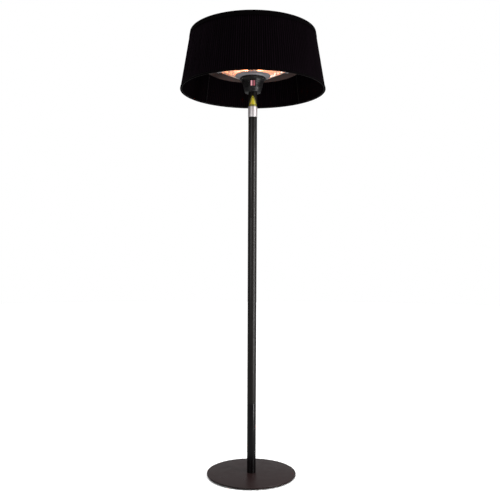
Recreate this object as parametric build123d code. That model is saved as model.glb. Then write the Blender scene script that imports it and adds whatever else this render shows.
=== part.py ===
"""Free-standing electric patio heater in the form of a shaded floor lamp.

Units are millimetres and degrees. +Z is up, the origin is on the floor under the
middle of the base plate, and the front of the heater, with its switches, faces -Y.
"""

import os
from math import atan2, cos, degrees, hypot, radians, sin, tan

from build123d import *

# ---------------------------------------------------------------- driving sizes
# Base plate and its feet
base_diameter = 400.0
base_thickness = 7.0
base_edge_round = 1.0
foot_diameter = 30.0
foot_height = 6.0
foot_count = 8
foot_first_angle = 11.25
foot_edge_margin = 7.0

# Pole: three lengths of one tube, joined by inner couplers
pole_diameter = 40.0
pole_wall = 1.5
pole_lower_length = 310.0
pole_middle_length = 838.0
pole_upper_length = 457.6
pole_end_round = 0.6
coupler_length = 120.0
coupler_wall = 2.0
plug_height = 20.0
slip_clearance = 0.1
seat_gap = 0.3

# Screws that hold the plate to the pole
base_bolt_count = 3
base_bolt_radius = 3.0
base_bolt_circle = 22.0
base_bolt_head_radius = 6.0
base_bolt_head_height = 3.3
base_bolt_length = 20.0
thread_clearance = 0.05

# Cable entry at the back of the lower pole, and the flex inside
gland_height = 54.0
gland_bore_radius = 4.2
gland_stem_radius = 7.0
gland_flange_radius = 11.0
gland_flange_reach = 4.0
gland_inner_reach = 6.0
flex_radius = 3.5
flex_offset = 7.0
flex_bend = 14.0

# Collar and neck
collar_height = 48.6
collar_proud = 1.0
collar_groove_count = 7
collar_groove_depth = 0.35
collar_groove_width = 1.2
neck_length = 62.8
neck_step = 0.2
neck_bore_radius = 12.0
neck_spigot_depth = 60.0
neck_thread_radius = 15.0
neck_thread_length = 16.0
neck_nut_radius = 21.0
neck_nut_height = 6.0
grub_screw_radius = 2.5
label_width = 35.0
label_height = 49.0
label_bottom_gap = 2.5
label_thickness = 0.25

# Switch housing: a tapered cup with an outward lip
housing_height = 66.6
housing_bottom_radius = 35.5
housing_corner_round = 7.0
housing_wall = 3.0
housing_floor_wall = 4.0
housing_shoulder_radius = 51.0
housing_shoulder_drop = 12.0
housing_lip_radius = 59.5
housing_lip_height = 5.0
housing_lip_inner_radius = 50.0
vent_count = 6
vent_first_angle = 25.0
vent_pitch_angle = 5.2
vent_width = 1.8
vent_height = 27.0
vent_centre_drop = 33.0
cover_thickness = 4.0
wire_hole_radius = 15.0
housing_screw_circle = 53.5
housing_screw_radius = 2.0
housing_screw_head_radius = 3.2
housing_screw_head_height = 2.2
housing_screw_recess_radius = 5.2
housing_screw_recess_drop = 21.0
housing_screw_seat = 3.0
screw_slot_width = 0.9
screw_slot_depth = 0.7

# Twin rocker switch, set square to the housing's front wall
switch_drop = 33.0
bezel_width = 26.0
bezel_height = 31.0
bezel_flange = 1.6
bezel_sleeve_depth = 9.5
bezel_wall = 0.8
switch_pad_margin = 1.0
switch_pad_proud = 0.6
switch_pad_depth = 5.0
rocker_width = 8.8
rocker_half_height = 11.2
rocker_gap = 0.3
rocker_divider = 2.4
rocker_aperture_height = 24.8
rocker_crest = 4.6
rocker_tip = 6.3
rocker_end_face = 2.9
rocker_belly_half = 5.0
rocker_belly_depth = 3.0
rocker_pivot_depth = 4.5
rocker_pin_radius = 1.2
pin_running_clearance = 0.05
switch_body_depth = 10.0
terminal_tab_length = 7.0
terminal_tab_width = 4.8
terminal_tab_thickness = 0.8
terminal_tab_rise = 6.0

# Terminal block and tip-over switch under the housing cover
block_side = 32.0
block_height = 12.0
block_post_height = 4.0
block_post_radius = 2.0
block_post_inset = 2.5
terminal_screw_pitch = 8.0
terminal_screw_radius = 2.2
terminal_screw_proud = 1.5
tilt_case_centre_x = -31.0
tilt_case_side = 14.0
tilt_case_height = 18.0
tilt_case_wall = 1.2
tilt_pivot_drop = 4.0
tilt_pin_radius = 0.8
tilt_hub_radius = 2.0
tilt_arm_length = 8.5
tilt_bob_radius = 3.0
tilt_bob_length = 7.0

# Guard: a solid dish at the housing and a cone of wires up to the hood
dish_outer_radius = 80.5
dish_rise = 11.0
dish_thickness = 1.5
guard_rim_radius = 176.5
guard_rim_wire = 2.5
guard_wire = 1.2
guard_rib_count = 60
guard_rib_foot_radius = 72.0
guard_ring_count = 5
guard_ring_first_radius = 93.0
weld_gap = 0.1
guard_clip_count = 3
guard_clip_width = 12.0
guard_clip_thickness = 1.5
guard_clip_tail = 11.0
guard_screw_radius = 2.0
guard_screw_head_radius = 3.4
guard_screw_head_height = 2.0

# Column, reflector and hood
column_height = 97.5
column_radius = 18.0
column_bore_radius = 15.5
column_flange_radius = 26.0
column_flange = 2.0
reflector_thickness = 0.8
reflector_flat_radius = 60.0
reflector_shoulder_inset = 18.0
reflector_shoulder_drop = 10.0
reflector_wall_inset = 10.0
reflector_wall_drop = 14.0
reflector_rim_inset = 4.0
reflector_rim_drop = 36.4
hood_brim_root_drop = 1.8
hood_brim_reach = 41.5
hood_rim_drop_angle = 22.0
hood_thickness = 1.2
hood_hem_drop = 3.0
hood_gap_over_reflector = 21.0
hood_crown_flat_radius = 60.0
hood_crown_shoulder_inset = 36.0
hood_crown_shoulder_drop = 6.0
hood_crown_wall_inset = 8.0
hood_crown_wall_drop = 20.0
spacer_count = 3
spacer_circle = 45.0
spacer_radius = 4.0
spacer_bore_radius = 2.1
cutout_circle = 78.0
cutout_radius = 8.0
cutout_height = 6.0

# Quartz elements, set as a triangle round the column
element_count = 3
element_first_angle = 30.0
element_offset = 92.0
element_end_clearance = 6.0
element_radius = 6.0
element_wall = 1.0
element_drop = 24.0
filament_radius = 1.2
cap_length = 16.0
cap_radius = 8.0
cap_overlap = 6.0
cap_end_inset = 3.0
bracket_thickness = 1.2
bracket_width = 8.0
lead_radius = 1.1
lead_circle = 12.5
lead_clearance = 0.9
lead_bend = 3.5

# Shade: pleated drum on a wire frame, hung from a spider over the hood
shade_bottom_radius = 329.5
shade_top_radius = 286.0
shade_height = 261.4
shade_bottom_height = 1738.6
shade_thickness = 3.0
shade_ring_wire = 2.5
shade_ring_inset = 3.0
strut_count = 4
strut_first_angle = 45.0
strut_wire = 2.0
top_band_height = 23.0
bottom_band_height = 8.0
band_thickness = 0.6
hub_radius = 20.0
hub_thickness = 3.0
hub_height_over_hood = 24.0
stud_radius = 5.0
nut_radius = 9.0
nut_height = 6.0
finial_radius = 11.0
finial_height = 20.0
finial_round = 4.0

# ---------------------------------------------------------------- levels worked out
base_bottom = foot_height
base_top = base_bottom + base_thickness
pole_radius = pole_diameter / 2
pole_inner_radius = pole_radius - pole_wall
pole_lower_top = base_top + pole_lower_length
pole_middle_top = pole_lower_top + pole_middle_length
pole_top = pole_middle_top + pole_upper_length
collar_top = pole_top + collar_height
collar_screw_level = (pole_top + collar_top) / 2
gland_level = base_top + gland_height
spigot_radius = pole_inner_radius - slip_clearance
collar_radius = pole_radius + collar_proud
neck_radius = pole_radius - neck_step
housing_bottom = collar_top + neck_length
housing_top = housing_bottom + housing_height
cover_bottom = housing_top - cover_thickness
block_top = cover_bottom - block_post_height
block_bottom = block_top - block_height
screw_seat_level = housing_top - housing_screw_head_height - housing_screw_seat
dish_bottom = housing_top
dish_top = dish_bottom + dish_thickness
column_bottom = dish_top
column_top = column_bottom + column_height
reflector_bottom = column_top
reflector_top = reflector_bottom + reflector_thickness
hood_crown_inside = reflector_top + hood_gap_over_reflector
hood_crown_top = hood_crown_inside + hood_thickness
reflector_rim_level = reflector_bottom - reflector_rim_drop
reflector_rim_radius = guard_rim_radius - reflector_rim_inset
reflector_wall_radius = guard_rim_radius - reflector_wall_inset
reflector_shoulder_radius = guard_rim_radius - reflector_shoulder_inset
hood_rim_radius = guard_rim_radius + hood_brim_reach
hood_crown_wall_radius = guard_rim_radius - hood_crown_wall_inset
hood_crown_shoulder_radius = guard_rim_radius - hood_crown_shoulder_inset
hub_bottom = hood_crown_top + hub_height_over_hood
hub_top = hub_bottom + hub_thickness
shade_top_height = shade_bottom_height + shade_height
shade_slope = (shade_bottom_radius - shade_top_radius) / shade_height
element_level = reflector_bottom - element_drop
front = -90.0


# ---------------------------------------------------------------- shape helpers
def revolved(*points):
    """A turned solid from its half outline, given as (radius, height) pairs."""
    outline = Polyline(*[(r, 0, z) for r, z in points], close=True)
    return revolve(make_face(outline), Axis.Z)


def tube(outer, inner, bottom, top):
    return revolved((inner, bottom), (outer, bottom), (outer, top), (inner, top))


def disc(radius, bottom, top):
    return Pos(0, 0, (bottom + top) / 2) * Cylinder(radius, top - bottom)


def rod(start, end, radius):
    """A round bar from one point to another."""
    start, end = Vector(*start), Vector(*end)
    along = end - start
    return Plane(origin=start + along / 2, z_dir=along) * Cylinder(radius, along.length)


def wire_ring(radius, wire, level):
    return Pos(0, 0, level) * Torus(radius, wire)


def around(shape, count, first=0.0):
    """Copies of a shape, evenly spaced round the axis, as one group of solids."""
    step = 360.0 / count
    return Compound([Rot(0, 0, first + i * step) * shape for i in range(count)])


def flex_along(points, bends, radius):
    """A round flex along straight runs joined by tangent arcs."""
    path = FilletPolyline(*points, radius=bends)
    section = Plane(origin=path @ 0, z_dir=path % 0) * Circle(radius)
    return sweep(section, path=path)


def hex_nut(radius, bore, bottom, height):
    nut = extrude(RegularPolygon(radius, 6), height) - Cylinder(bore, 3 * height)
    return Pos(0, 0, bottom) * nut


def shade_radius(level):
    """Outer radius of the shade's cone at a height above the floor."""
    return shade_bottom_radius - shade_slope * (level - shade_bottom_height)


def brim_level(radius):
    """Height of the hood brim's lower face at a radius."""
    return brim_root_level - (radius - guard_rim_radius) * tan(radians(hood_rim_drop_angle))


# ---------------------------------------------------------------- base and pole
def make_base_plate():
    plate = disc(base_diameter / 2, base_bottom, base_top)
    plate = fillet(plate.edges().group_by(Axis.Z)[-1], base_edge_round)
    hole = disc(base_bolt_radius + slip_clearance, base_bottom - 1, base_top + 1)
    sink = Pos(0, 0, base_bottom + base_bolt_head_height / 2) * Cylinder(
        base_bolt_head_radius + slip_clearance, base_bolt_head_height
    )
    holes = around(Pos(base_bolt_circle / 2, 0, 0) * (hole + sink), base_bolt_count)
    for one in holes.solids():
        plate -= one
    return plate


def make_base_feet():
    circle = base_diameter / 2 - foot_edge_margin - foot_diameter / 2
    foot = Pos(circle, 0, foot_height / 2) * Cylinder(foot_diameter / 2, foot_height)
    foot = fillet(foot.edges().group_by(Axis.Z)[0], base_edge_round)
    return around(foot, foot_count, front + foot_first_angle)


def make_base_bolts():
    head = disc(base_bolt_head_radius, base_bottom, base_bottom + base_bolt_head_height)
    shank = disc(
        base_bolt_radius - thread_clearance, base_bottom, base_bottom + base_bolt_length
    )
    return around(Pos(base_bolt_circle / 2, 0, 0) * (head + shank), base_bolt_count)


def make_pole_foot_plug():
    plug = disc(spigot_radius, base_top, base_top + plug_height)
    hole = Pos(base_bolt_circle / 2, 0, 0) * disc(
        base_bolt_radius, base_top - 1, base_top + plug_height + 1
    )
    for one in around(hole, base_bolt_count).solids():
        plug -= one
    return plug


def pole_length(bottom, top):
    length = tube(pole_radius, pole_inner_radius, bottom, top)
    rims = length.edges().group_by(Axis.Z)
    return fillet([rims[0].sort_by(SortBy.RADIUS)[-1], rims[-1].sort_by(SortBy.RADIUS)[-1]],
                  pole_end_round)


def make_pole_lower():
    hole = rod((0, 0, gland_level), (0, pole_diameter, gland_level),
               gland_stem_radius + slip_clearance)
    return pole_length(base_top, pole_lower_top) - hole


def pole_coupler(joint_level):
    half = coupler_length / 2
    return tube(spigot_radius, spigot_radius - coupler_wall, joint_level - half,
                joint_level + half)


def make_cable_gland():
    inner_y = pole_inner_radius - gland_inner_reach
    outer_y = pole_radius + gland_flange_reach
    stem = rod((0, inner_y, gland_level), (0, outer_y, gland_level), gland_stem_radius)
    flange = rod((0, pole_inner_radius, gland_level), (0, outer_y, gland_level),
                 gland_flange_radius)
    flange -= disc(pole_radius + slip_clearance, gland_level - 20, gland_level + 20)
    bore = rod((0, inner_y - 1, gland_level), (0, outer_y + 1, gland_level),
               gland_bore_radius)
    return stem + flange - bore


def make_internal_flex():
    start = (0, pole_inner_radius - gland_inner_reach - seat_gap, gland_level)
    corner = (0, -flex_offset, gland_level)
    end = (0, -flex_offset, block_bottom - seat_gap)
    return flex_along([start, corner, end], [flex_bend], flex_radius)


# ---------------------------------------------------------------- collar and neck
def make_collar():
    collar = tube(collar_radius, spigot_radius + slip_clearance, pole_top, collar_top)
    rims = collar.edges().group_by(Axis.Z)
    outer = [rims[0].sort_by(SortBy.RADIUS)[-1], rims[-1].sort_by(SortBy.RADIUS)[-1]]
    collar = chamfer(outer, pole_end_round)
    pitch = collar_height / (collar_groove_count + 1)
    for i in range(collar_groove_count):
        level = pole_top + pitch * (i + 1)
        groove = tube(collar_radius + 1, collar_radius - collar_groove_depth,
                      level - collar_groove_width / 2, level + collar_groove_width / 2)
        collar -= groove
    hole = rod((0, 0, collar_screw_level), (0, 2 * collar_radius, collar_screw_level),
               grub_screw_radius + thread_clearance)
    return collar - hole


def make_collar_grub_screw():
    inner_y = spigot_radius + thread_clearance
    screw = rod((0, inner_y, collar_screw_level), (0, collar_radius, collar_screw_level),
                grub_screw_radius)
    socket = rod((0, collar_radius - 1.5, collar_screw_level),
                 (0, collar_radius + 1, collar_screw_level), grub_screw_radius / 2)
    curved = disc(spigot_radius + thread_clearance, pole_top, collar_top)
    return screw - socket - curved


def make_neck_tube():
    thread_top = housing_bottom + neck_thread_length
    return revolved(
        (neck_bore_radius, pole_top - neck_spigot_depth),
        (spigot_radius, pole_top - neck_spigot_depth),
        (spigot_radius, collar_top),
        (neck_radius, collar_top),
        (neck_radius, housing_bottom),
        (neck_thread_radius, housing_bottom),
        (neck_thread_radius, thread_top),
        (neck_bore_radius, thread_top),
    )


def make_neck_locknut():
    return hex_nut(neck_nut_radius, neck_thread_radius + thread_clearance,
                   housing_bottom + housing_floor_wall, neck_nut_height)


def make_triangle_label():
    """A thin blank triangle that follows the front of the neck."""
    level = collar_top + label_bottom_gap
    corners = [(-label_width / 2, level), (label_width / 2, level), (0, level + label_height)]
    outline = make_face(Polyline(*[(x, -2 * neck_radius, z) for x, z in corners], close=True))
    wedge = extrude(outline, 2 * neck_radius, dir=(0, 1, 0))
    skin = tube(neck_radius + label_thickness, neck_radius, collar_top, housing_bottom)
    return skin & wedge


# ---------------------------------------------------------------- switch housing
shoulder_level = housing_top - housing_shoulder_drop
lip_bottom = housing_top - housing_lip_height
wall_slope = (housing_shoulder_radius - housing_bottom_radius) / (shoulder_level - housing_bottom)
wall_tilt = degrees(atan2(wall_slope, 1.0))


def housing_radius(level):
    """Outer radius of the housing's tapered wall at a height above the floor."""
    return housing_bottom_radius + wall_slope * (level - housing_bottom)


switch_level = housing_top - switch_drop
switch_front_y = -(housing_radius(switch_level) + switch_pad_proud)
# The switch plane: local x runs to the heater's right hand seen from the front,
# local y runs up the wall, and local z points out of the wall.
switch_plane = Plane(
    origin=(0, switch_front_y, switch_level),
    x_dir=(1, 0, 0),
    z_dir=(0, -cos(radians(wall_tilt)), -sin(radians(wall_tilt))),
)
aperture_width = rocker_width + 2 * rocker_gap
sleeve_width = 2 * aperture_width + rocker_divider + 2 * bezel_wall
sleeve_height = rocker_aperture_height + 2 * bezel_wall
rocker_centre_x = (aperture_width + rocker_divider) / 2
rocker_pitch_angle = degrees(atan2(rocker_tip - rocker_crest, rocker_half_height))
rocker_pivot = switch_plane.from_local_coords((0, 0, -rocker_pivot_depth))


def on_switch(shape):
    """Places a shape, drawn in the switch's own axes, on the housing's front."""
    return switch_plane.location * shape


def slab(width, height, back, face):
    """A block in the switch's own axes, between two depths along the outward normal."""
    return Pos(0, 0, (back + face) / 2) * Box(width, height, face - back)


def make_switch_housing():
    inner_shoulder = housing_shoulder_radius - housing_wall
    floor_level = housing_bottom + housing_floor_wall
    shell = revolved(
        (neck_thread_radius + slip_clearance, housing_bottom),
        (housing_bottom_radius, housing_bottom),
        (housing_shoulder_radius, shoulder_level),
        (housing_lip_radius - 1.0, lip_bottom - 1.0),
        (housing_lip_radius, lip_bottom),
        (housing_lip_radius, housing_top),
        (housing_lip_inner_radius, housing_top),
        (housing_lip_inner_radius, cover_bottom),
        (inner_shoulder, cover_bottom),
        (inner_shoulder, shoulder_level),
        (housing_radius(floor_level) - housing_wall, floor_level),
        (neck_thread_radius + slip_clearance, floor_level),
    )
    foot = shell.edges().group_by(Axis.Z)[0].sort_by(SortBy.RADIUS)[-1]
    shell = fillet(foot, housing_corner_round)
    pad = slab(bezel_width + 2 * switch_pad_margin, bezel_height + 2 * switch_pad_margin,
               -switch_pad_depth, 0)
    window = slab(sleeve_width + 2 * slip_clearance, sleeve_height + 2 * slip_clearance,
                  -3 * switch_pad_depth, switch_pad_depth)
    housing = shell + on_switch(pad) - on_switch(window)
    vent_level = housing_top - vent_centre_drop
    vent = Pos(housing_radius(vent_level), 0, vent_level) * Box(
        4 * housing_wall, vent_width, vent_height
    )
    for side in (-1, 1):
        for i in range(vent_count):
            turn = front + side * (vent_first_angle + i * vent_pitch_angle)
            housing -= Rot(0, 0, turn) * vent
    recess = Pos(housing_screw_circle, 0, 0) * (
        disc(housing_screw_recess_radius, housing_top - housing_screw_recess_drop, screw_seat_level)
        + disc(housing_screw_radius + slip_clearance, screw_seat_level - 1, housing_top + 1)
    )
    for one in around(recess, 3, -front).solids():
        housing -= one
    return housing


def make_housing_cover():
    cover = disc(housing_lip_inner_radius - slip_clearance, cover_bottom, housing_top)
    return cover - disc(wire_hole_radius, cover_bottom - 1, housing_top + 1)


def make_housing_screws():
    head_bottom = screw_seat_level - housing_screw_head_height
    head = disc(housing_screw_head_radius, head_bottom, screw_seat_level)
    slot = Pos(0, 0, head_bottom) * Box(
        4 * housing_screw_head_radius, screw_slot_width, 2 * screw_slot_depth
    )
    shank = disc(housing_screw_radius, screw_seat_level, dish_top)
    screw = head - slot + shank
    return around(Pos(housing_screw_circle, 0, 0) * screw, 3, -front)


# ---------------------------------------------------------------- twin rocker switch
def make_switch_bezel():
    flange = slab(bezel_width, bezel_height, 0, bezel_flange)
    flange = fillet(flange.edges().filter_by(Axis.Z), 2.0)
    sleeve = slab(sleeve_width, sleeve_height, -bezel_sleeve_depth, bezel_flange / 2)
    bezel = flange + sleeve
    for side in (-1, 1):
        opening = slab(aperture_width, rocker_aperture_height, -bezel_sleeve_depth - 1,
                       bezel_flange + 1)
        bezel -= Pos(side * rocker_centre_x, 0, 0) * opening
    bezel -= make_rocker_pin_shape(rocker_pin_radius)
    return on_switch(bezel)


def make_rocker_pin_shape(radius):
    half = sleeve_width / 2 - bezel_wall / 2
    return rod((-half, 0, -rocker_pivot_depth), (half, 0, -rocker_pivot_depth), radius)


def make_rocker_pin():
    return on_switch(make_rocker_pin_shape(rocker_pin_radius))


def rocker(side):
    """One rocker, pressed in at its upper half, which is its ON position."""
    outline = Polyline(
        (0, -rocker_half_height, rocker_tip),
        (0, 0, rocker_crest),
        (0, rocker_half_height, rocker_tip),
        (0, rocker_half_height, rocker_tip - rocker_end_face),
        (0, rocker_belly_half, -rocker_belly_depth),
        (0, -rocker_belly_half, -rocker_belly_depth),
        (0, -rocker_half_height, rocker_tip - rocker_end_face),
        close=True,
    )
    body = extrude(make_face(outline), rocker_width / 2, dir=(1, 0, 0), both=True)
    body -= rod((-rocker_width, 0, 0), (rocker_width, 0, 0),
                rocker_pin_radius + pin_running_clearance)
    body = Rot(-rocker_pitch_angle, 0, 0) * body
    return on_switch(Pos(side * rocker_centre_x, 0, -rocker_pivot_depth) * body)


def make_switch_body():
    body = slab(sleeve_width, sleeve_height, -bezel_sleeve_depth - switch_body_depth,
                -bezel_sleeve_depth)
    return on_switch(body)


def make_switch_terminals():
    back = -bezel_sleeve_depth - switch_body_depth
    tab = Pos(0, 0, back - terminal_tab_length / 2) * Box(
        terminal_tab_width, terminal_tab_thickness, terminal_tab_length
    )
    tabs = []
    for side in (-1, 1):
        for rise in (-terminal_tab_rise, terminal_tab_rise):
            tabs.append(on_switch(Pos(side * rocker_centre_x, rise, 0) * tab))
    return Compound(tabs)


# ---------------------------------------------------------------- inside the housing
def make_terminal_block():
    block = Pos(0, 0, (block_top + block_bottom) / 2) * Box(
        block_side, block_side, block_height
    )
    corner = block_side / 2 - block_post_inset
    for x in (-corner, corner):
        for y in (-corner, corner):
            block += Pos(x, y, 0) * disc(block_post_radius, block_top - 1, cover_bottom)
    return block


def make_terminal_screws():
    screws = []
    level = (block_bottom + block_top) / 2
    face = block_side / 2
    for x in (-terminal_screw_pitch, 0.0, terminal_screw_pitch):
        screws.append(rod((x, face, level), (x, face + terminal_screw_proud, level),
                          terminal_screw_radius))
    return Compound(screws)


tilt_case_top = cover_bottom
tilt_pivot_level = tilt_case_top - tilt_case_wall - tilt_pivot_drop


def tilt_switch_at(shape):
    return Pos(tilt_case_centre_x, 0, 0) * shape


def make_tilt_switch_case():
    middle = tilt_case_top - tilt_case_height / 2
    inner = tilt_case_side - 2 * tilt_case_wall
    case = Pos(0, 0, middle) * Box(tilt_case_side, tilt_case_side, tilt_case_height)
    case -= Pos(0, 0, middle) * Box(inner, inner, tilt_case_height - 2 * tilt_case_wall)
    return tilt_switch_at(case - tilt_pin_shape())


def tilt_pin_shape():
    half = tilt_case_side / 2
    return rod((-half, 0, tilt_pivot_level), (half, 0, tilt_pivot_level), tilt_pin_radius)


def make_tilt_switch_pin():
    return tilt_switch_at(tilt_pin_shape())


def make_tilt_switch_pendulum():
    half = tilt_bob_length / 2
    hub = rod((-half, 0, tilt_pivot_level), (half, 0, tilt_pivot_level), tilt_hub_radius)
    bob_level = tilt_pivot_level - tilt_arm_length
    bob = rod((-half, 0, bob_level), (half, 0, bob_level), tilt_bob_radius)
    arm = Pos(0, 0, tilt_pivot_level - tilt_arm_length / 2) * Box(2, 1.4, tilt_arm_length)
    bore = rod((-tilt_bob_length, 0, tilt_pivot_level), (tilt_bob_length, 0, tilt_pivot_level),
               tilt_pin_radius + pin_running_clearance)
    return tilt_switch_at(hub + arm + bob - bore)


# ---------------------------------------------------------------- guard
dish_flat_radius = housing_lip_radius
dish_slope = dish_rise / (dish_outer_radius - dish_flat_radius)
dish_edge_top = dish_top + dish_rise
brim_root_level = reflector_rim_level - hood_brim_root_drop
rim_tilt = radians(hood_rim_drop_angle)
guard_rim_level = brim_root_level - (guard_rim_wire + weld_gap) / cos(rim_tilt)
# A rib rests on the dish's edge, or at its own foot where it is steeper than the dish.
rib_lift = (guard_wire + weld_gap) * hypot(1, dish_slope)
rib_edge_level = dish_edge_top + rib_lift
rib_edge_slope = (guard_rim_level - rib_edge_level) / (guard_rim_radius - dish_outer_radius)
rib_foot_level = max(
    rib_edge_level - rib_edge_slope * (dish_outer_radius - guard_rib_foot_radius),
    dish_top + dish_slope * (guard_rib_foot_radius - dish_flat_radius) + rib_lift,
)
rib_slope = (guard_rim_level - rib_foot_level) / (guard_rim_radius - guard_rib_foot_radius)


def make_guard_dish():
    dish = revolved(
        (wire_hole_radius, dish_bottom),
        (dish_flat_radius, dish_bottom),
        (dish_outer_radius, dish_bottom + dish_rise),
        (dish_outer_radius, dish_edge_top),
        (dish_flat_radius, dish_top),
        (wire_hole_radius, dish_top),
    )
    hole = disc(housing_screw_radius + slip_clearance, dish_bottom - 1, dish_top + 3)
    for one in around(Pos(housing_screw_circle, 0, 0) * hole, 3, -front).solids():
        dish -= one
    return dish


def make_guard_ribs():
    reach = (guard_rim_wire + weld_gap) / hypot(1, rib_slope)
    end_radius = guard_rim_radius - reach
    rib = rod((guard_rib_foot_radius, 0, rib_foot_level),
              (end_radius, 0, guard_rim_level - reach * rib_slope), guard_wire)
    return around(rib, guard_rib_count, 180.0 / guard_rib_count)


def make_guard_rings():
    pitch = (guard_rim_radius - guard_ring_first_radius) / guard_ring_count
    under = (2 * guard_wire + weld_gap) * hypot(1, rib_slope)
    rings = []
    for i in range(guard_ring_count):
        radius = guard_ring_first_radius + i * pitch
        level = rib_foot_level + rib_slope * (radius - guard_rib_foot_radius) - under
        rings.append(wire_ring(radius, guard_wire, level))
    return Compound(rings)


def make_guard_rim():
    return wire_ring(guard_rim_radius, guard_rim_wire, guard_rim_level)


brim_plane = Plane(
    origin=(guard_rim_radius, 0, brim_root_level),
    x_dir=(cos(rim_tilt), 0, -sin(rim_tilt)),
    z_dir=(-sin(rim_tilt), 0, -cos(rim_tilt)),
)
clip_depth = 2 * guard_rim_wire + 2 * weld_gap
rim_shift = (guard_rim_wire + weld_gap) * tan(rim_tilt)
guard_screw_x = (
    rim_shift + guard_rim_wire + 2 * weld_gap + guard_clip_thickness + guard_clip_tail / 2
)


def make_guard_clips():
    """Hooked straps that hold the guard's rim wire up against the hood's brim."""
    thick = guard_clip_thickness
    lip = rim_shift - guard_rim_wire
    hook = rim_shift + guard_rim_wire + 2 * weld_gap
    tail_end = hook + thick + guard_clip_tail
    outline = Polyline(
        (lip, 0, clip_depth),
        (hook, 0, clip_depth),
        (hook, 0, weld_gap),
        (tail_end, 0, weld_gap),
        (tail_end, 0, weld_gap + thick),
        (hook + thick, 0, weld_gap + thick),
        (hook + thick, 0, clip_depth + thick),
        (lip, 0, clip_depth + thick),
        close=True,
    )
    clip = extrude(make_face(outline), guard_clip_width / 2, dir=(0, 1, 0), both=True)
    clip -= Pos(guard_screw_x, 0, 0) * Cylinder(guard_screw_radius + slip_clearance, 20)
    return around(brim_plane.location * clip, guard_clip_count, front)


def make_guard_screws():
    face = weld_gap + guard_clip_thickness
    head = Pos(0, 0, face + guard_screw_head_height / 2) * Cylinder(
        guard_screw_head_radius, guard_screw_head_height
    )
    shank = Pos(0, 0, (face - hood_thickness - 2) / 2) * Cylinder(
        guard_screw_radius, face + hood_thickness + 2
    )
    screw = brim_plane.location * (Pos(guard_screw_x, 0, 0) * (head + shank))
    return around(screw, guard_clip_count, front)


# ---------------------------------------------------------------- column, reflector, hood
def make_central_column():
    column = tube(column_radius, column_bore_radius, column_bottom, column_top)
    foot = tube(column_flange_radius, column_bore_radius, column_bottom,
                column_bottom + column_flange)
    head = tube(column_flange_radius, column_bore_radius, column_top - column_flange,
                column_top)
    return column + foot + head


def make_reflector():
    low = reflector_bottom
    high = reflector_top
    thick = reflector_thickness
    shoulder = low - reflector_shoulder_drop
    wall = low - reflector_wall_drop
    reflector = revolved(
        (stud_radius + slip_clearance, low),
        (reflector_flat_radius, low),
        (reflector_shoulder_radius, shoulder),
        (reflector_wall_radius, wall),
        (reflector_rim_radius - thick, reflector_rim_level),
        (reflector_rim_radius, reflector_rim_level),
        (reflector_wall_radius + thick, wall + thick),
        (reflector_shoulder_radius, shoulder + thick),
        (reflector_flat_radius, high),
        (stud_radius + slip_clearance, high),
    )
    hole = disc(lead_radius + lead_clearance, shoulder - 10, high + 2)
    for turn in lead_angles():
        for radius in (lead_circle, cap_circle):
            reflector -= Rot(0, 0, turn) * Pos(radius, 0, 0) * hole
    return reflector


def make_hood():
    thick = hood_thickness
    top = hood_crown_inside
    shoulder = top - hood_crown_shoulder_drop
    wall = top - hood_crown_wall_drop
    rim = brim_level(hood_rim_radius)
    hood = revolved(
        (stud_radius + slip_clearance, top),
        (hood_crown_flat_radius, top),
        (hood_crown_shoulder_radius, shoulder),
        (hood_crown_wall_radius, wall),
        (guard_rim_radius, brim_root_level),
        (hood_rim_radius - thick, brim_level(hood_rim_radius - thick)),
        (hood_rim_radius - thick, rim - hood_hem_drop),
        (hood_rim_radius, rim - hood_hem_drop),
        (hood_rim_radius, rim + thick),
        (guard_rim_radius + thick, brim_root_level + thick),
        (hood_crown_wall_radius + thick, wall + thick),
        (hood_crown_shoulder_radius, shoulder + thick),
        (hood_crown_flat_radius, top + thick),
        (stud_radius + slip_clearance, top + thick),
    )
    hole = brim_plane.location * (
        Pos(guard_screw_x, 0, 0) * Cylinder(guard_screw_radius + slip_clearance, 20)
    )
    for one in around(hole, guard_clip_count, front).solids():
        hood -= one
    return hood


def make_reflector_spacers():
    spacer = Pos(spacer_circle, 0, 0) * tube(spacer_radius, spacer_bore_radius,
                                             reflector_top, hood_crown_inside)
    return around(spacer, spacer_count, 0)


def make_thermal_cutout():
    slope = reflector_shoulder_drop / (reflector_shoulder_radius - reflector_flat_radius)
    seat = reflector_top - slope * (cutout_circle - cutout_radius - reflector_flat_radius)
    return Pos(cutout_circle, 0, 0) * disc(cutout_radius, seat, seat + cutout_height)


# ---------------------------------------------------------------- elements
# The outer corner of each end cap stays clear of the reflector's wall.
cap_corner_radius = reflector_wall_radius - element_end_clearance
cap_end_reach = (cap_corner_radius ** 2 - (element_offset + cap_radius) ** 2) ** 0.5
half_tube = cap_end_reach - cap_length + cap_overlap
lead_reach = cap_end_reach - cap_end_inset
cap_circle = hypot(element_offset, lead_reach)
cap_angle = degrees(atan2(lead_reach, element_offset))


def element_angles():
    return [element_first_angle + i * 360.0 / element_count for i in range(element_count)]


def lead_angles():
    return [turn + side * cap_angle for turn in element_angles() for side in (-1, 1)]


def make_element_tube(turn):
    start = (element_offset, -half_tube, element_level)
    end = (element_offset, half_tube, element_level)
    wall = rod(start, end, element_radius) - rod(start, end, element_radius - element_wall)
    return Rot(0, 0, turn) * wall


def make_element_filaments():
    reach = half_tube - cap_overlap - seat_gap
    filament = rod((element_offset, -reach, element_level),
                   (element_offset, reach, element_level), filament_radius)
    return around(filament, element_count, element_first_angle)


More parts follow.
